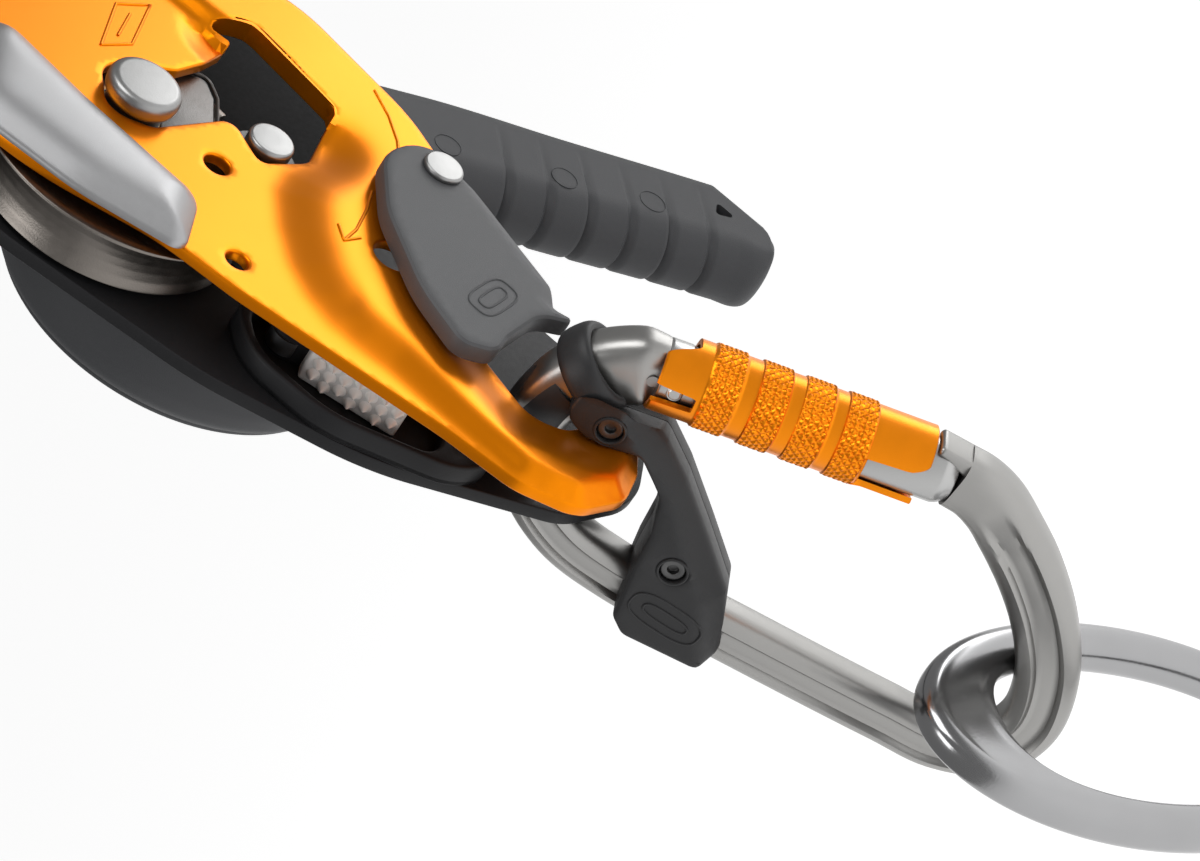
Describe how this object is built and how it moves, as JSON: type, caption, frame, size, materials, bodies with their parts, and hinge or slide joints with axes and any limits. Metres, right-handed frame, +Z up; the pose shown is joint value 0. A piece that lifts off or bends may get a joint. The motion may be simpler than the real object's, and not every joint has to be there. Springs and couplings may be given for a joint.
{
  "type": "rope grab",
  "caption": "Self-braking rope grab with swinging side plate, cam, lever handle, locking connector, positioning bar and oval attachment ring",
  "frame": {"origin": "middle of the attachment hole, half way between the two side plates", "axes": "+Z up the load line toward the rope end, -Y the front (moving plate) side, +X to the right as the front is seen"},
  "size_m": [0.1658, 0.0764, 0.322],
  "materials": {
    "orange_paint": "smooth orange paint over pressed aluminium",
    "black_paint": "semi-gloss black coating",
    "brushed_steel": "turned stainless steel",
    "dark_steel": "blackened steel",
    "satin_steel": "satin bead-blasted steel",
    "cam_steel": "cast stainless steel, satin",
    "spring_steel": "spring wire",
    "bronze": "sintered bronze",
    "grey_plastic": "glass-filled nylon, matt dark grey",
    "black_plastic": "moulded nylon, black",
    "grey_aluminium": "forged and grey anodised",
    "orange_anodised": "orange anodised, knurled",
    "polished_aluminium": "forged and polished"
  },
  "bodies": {
    "fixed_frame": {"fixed_side_plate": "black_paint", "cam_axle": "brushed_steel", "axle_washer": "brushed_steel", "hub_axle": "brushed_steel", "plate_pivot_pin": "brushed_steel", "pivot_spacer": "brushed_steel", "catch_housing": "black_plastic", "housing_rivets": "dark_steel", "catch_axle": "brushed_steel", "rope_shoe": "dark_steel", "shoe_rivets": "brushed_steel"},
    "cam_body": {"cam": "cam_steel", "cam_bush": "bronze"},
    "catch_body": {"catch_plate": "cam_steel", "catch_spring": "spring_steel"},
    "moving_plate": {"moving_side_plate": "orange_paint", "auxiliary_brake": "satin_steel", "brake_rivets": "brushed_steel", "gate_rivet": "brushed_steel", "side_gate_spring": "spring_steel"},
    "side_gate_body": {"side_gate": "grey_plastic"},
    "handle": {"handle_hub": "grey_plastic", "hub_cover": "grey_plastic", "handle_grip": "grey_plastic", "drive_lobe": "dark_steel", "axle_clip": "spring_steel", "return_spring": "spring_steel", "button_spring": "spring_steel"},
    "button": {"push_button": "black_plastic"},
    "connector": {"connector_frame": "grey_aluminium", "gate_hinge_pin": "brushed_steel", "bar_front_shell": "black_plastic", "bar_rear_shell": "black_plastic", "bar_screws": "dark_steel"},
    "link_gate": {"gate_arm": "grey_aluminium", "gate_spring": "spring_steel"},
    "carrier": {"sleeve_carrier": "grey_aluminium", "sleeve_spring": "spring_steel"},
    "sleeve": {"locking_sleeve": "orange_anodised"},
    "ring": {"attachment_ring": "polished_aluminium"}
  },
  "joints": [
    {"name": "plate_swing", "type": "hinge", "parent": "fixed_frame", "child": "moving_plate", "pos_m": [0.05, 0, 0.122], "axis": [0, 1, 0], "range_deg": [0, 2]},
    {"name": "side_gate_turn", "type": "hinge", "parent": "moving_plate", "child": "side_gate_body", "pos_m": [0.04, 0, 0.031], "axis": [0, 1, 0], "range_deg": [0, 35], "stiffness_Nm_per_rad": 0.02, "springref_deg": -11.46},
    {"name": "handle_turn", "type": "hinge", "parent": "fixed_frame", "child": "handle", "pos_m": [0.0325, 0, 0.0631], "axis": [0, -1, 0], "range_deg": [-25, 95]},
    {"name": "cam_pivot", "type": "hinge", "parent": "fixed_frame", "child": "cam_body", "pos_m": [0.0253, 0, 0.09], "axis": [0, -1, 0], "range_deg": [-2, 5]},
    {"name": "catch_pivot", "type": "hinge", "parent": "fixed_frame", "child": "catch_body", "pos_m": [-0.004, 0, 0.047], "axis": [0, -1, 0], "range_deg": [-2, 9], "stiffness_Nm_per_rad": 0.02, "springref_deg": -5.73},
    {"name": "button_press", "type": "slide", "parent": "handle", "child": "button", "axis": [0, -1, 0], "range_m": [0, 0.002], "stiffness_N_per_m": 600, "springref_m": -0.002},
    {"name": "connector_swing", "type": "hinge", "parent": "fixed_frame", "child": "connector", "pos_m": [0, 0, -0.0019], "axis": [0, -1, 0], "range_deg": [-8, 10]},
    {"name": "connector_gate", "type": "hinge", "parent": "connector", "child": "link_gate", "pos_m": [0, -0.0262, -0.0155], "axis": [1, 0, 0], "range_deg": [0, 16], "stiffness_Nm_per_rad": 0.05, "springref_deg": -17.19},
    {"name": "sleeve_slide", "type": "slide", "parent": "link_gate", "child": "carrier", "axis": [0, 0.1421, 0.9898], "range_m": [0, 0.0025], "stiffness_N_per_m": 400, "springref_m": -0.002},
    {"name": "sleeve_turn", "type": "hinge", "parent": "carrier", "child": "sleeve", "pos_m": [0, -0.0262, -0.0155], "axis": [0, -0.1421, -0.9898], "range_deg": [0, 60], "stiffness_Nm_per_rad": 0.01, "springref_deg": -11.46},
    {"name": "ring_swing", "type": "hinge", "parent": "connector", "child": "ring", "pos_m": [0, 0, -0.1159], "axis": [0, -1, 0], "range_deg": [-20, 20]}
  ],
  "couplings": [
    {"joint": "cam_pivot", "follows": "handle_turn", "ratio": 0.04}
  ]
}
